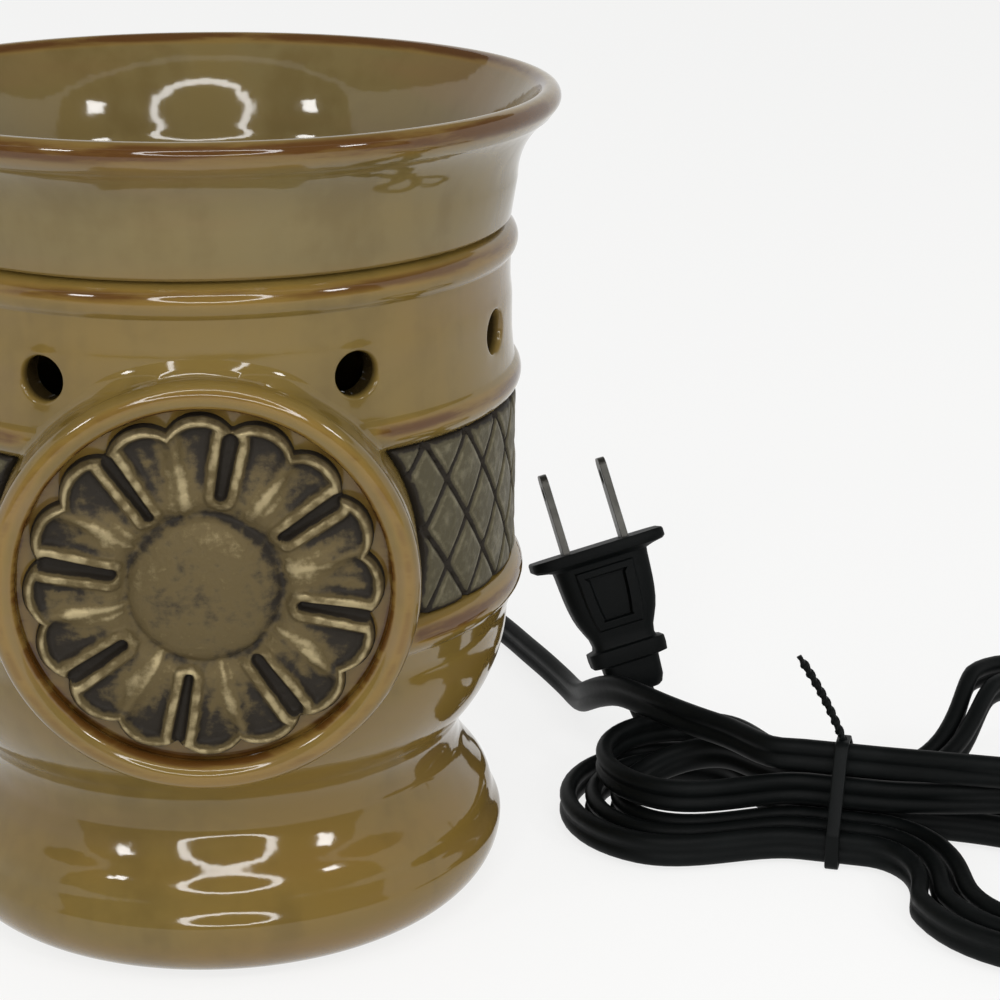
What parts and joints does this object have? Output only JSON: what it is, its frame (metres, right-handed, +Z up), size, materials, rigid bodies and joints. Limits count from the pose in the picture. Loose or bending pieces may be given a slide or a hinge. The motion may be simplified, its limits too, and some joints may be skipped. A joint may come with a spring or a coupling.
{
  "type": "electric wax warmer",
  "caption": "Glazed ceramic wax warmer with loose dish, bronze rosette and quilted band, globe lamp inside, flat cord with switch and plug",
  "frame": {"origin": "centre of the warmer's foot on the table", "axes": "+Z up, rosette that is seen in the picture towards -Y, +X to the right"},
  "size_m": [0.2523, 0.2032, 0.1489],
  "materials": {
    "glaze": "glossy olive-tan glaze that breaks to a reddish brown on edges",
    "bronze": "antique bronze with dark recesses",
    "steel": "plain plated steel",
    "brass": "plain brass",
    "holder": "unglazed white porcelain",
    "glass": "clear lamp glass",
    "rubber": "matt black rubber",
    "cord": "satin black flexible vinyl",
    "black_plastic": "semi-gloss black plastic"
  },
  "bodies": {
    "warmer": {"warmer_body": "glaze", "front_rosette": "bronze", "rear_rosette": "bronze", "left_panel": "bronze", "right_panel": "bronze", "base_plate": "steel", "rubber_feet": "rubber", "clamp_stud": "steel", "stud_nuts": "steel", "socket_bracket": "steel", "bracket_rivet": "steel", "socket_cup": "holder", "screw_shell": "brass", "centre_contact": "brass", "terminal_screws": "brass", "lamp_leads": "cord", "strain_relief": "cord", "cord_to_switch": "cord", "cord_to_hank": "cord", "cord_hank": "cord", "cord_tail": "cord", "hank_tie": "black_plastic", "plug_body": "cord", "plug_blades": "steel", "switch_lower": "black_plastic", "switch_upper": "black_plastic", "switch_contacts": "brass", "switch_screws": "steel"},
    "dish": {"warming_dish": "glaze"},
    "lamp": {"lamp_glass": "glass", "lamp_cap": "brass", "lamp_insulator": "black_plastic", "lamp_tip": "steel", "lamp_stem": "glass", "lamp_filament": "steel"},
    "rocker": {"switch_rocker": "black_plastic"}
  },
  "joints": [
    {"name": "dish_lift", "type": "slide", "parent": "warmer", "child": "dish", "axis": [0, 0, 1], "range_m": [0, 0.08]},
    {"name": "lamp_unscrew", "type": "slide", "parent": "warmer", "child": "lamp", "axis": [0, 0, 1], "range_m": [0, 0.009]},
    {"name": "switch_press", "type": "hinge", "parent": "warmer", "child": "rocker", "pos_m": [0.002, 0.13, 0.015], "axis": [0, -1, 0], "range_deg": [0, 18]}
  ]
}
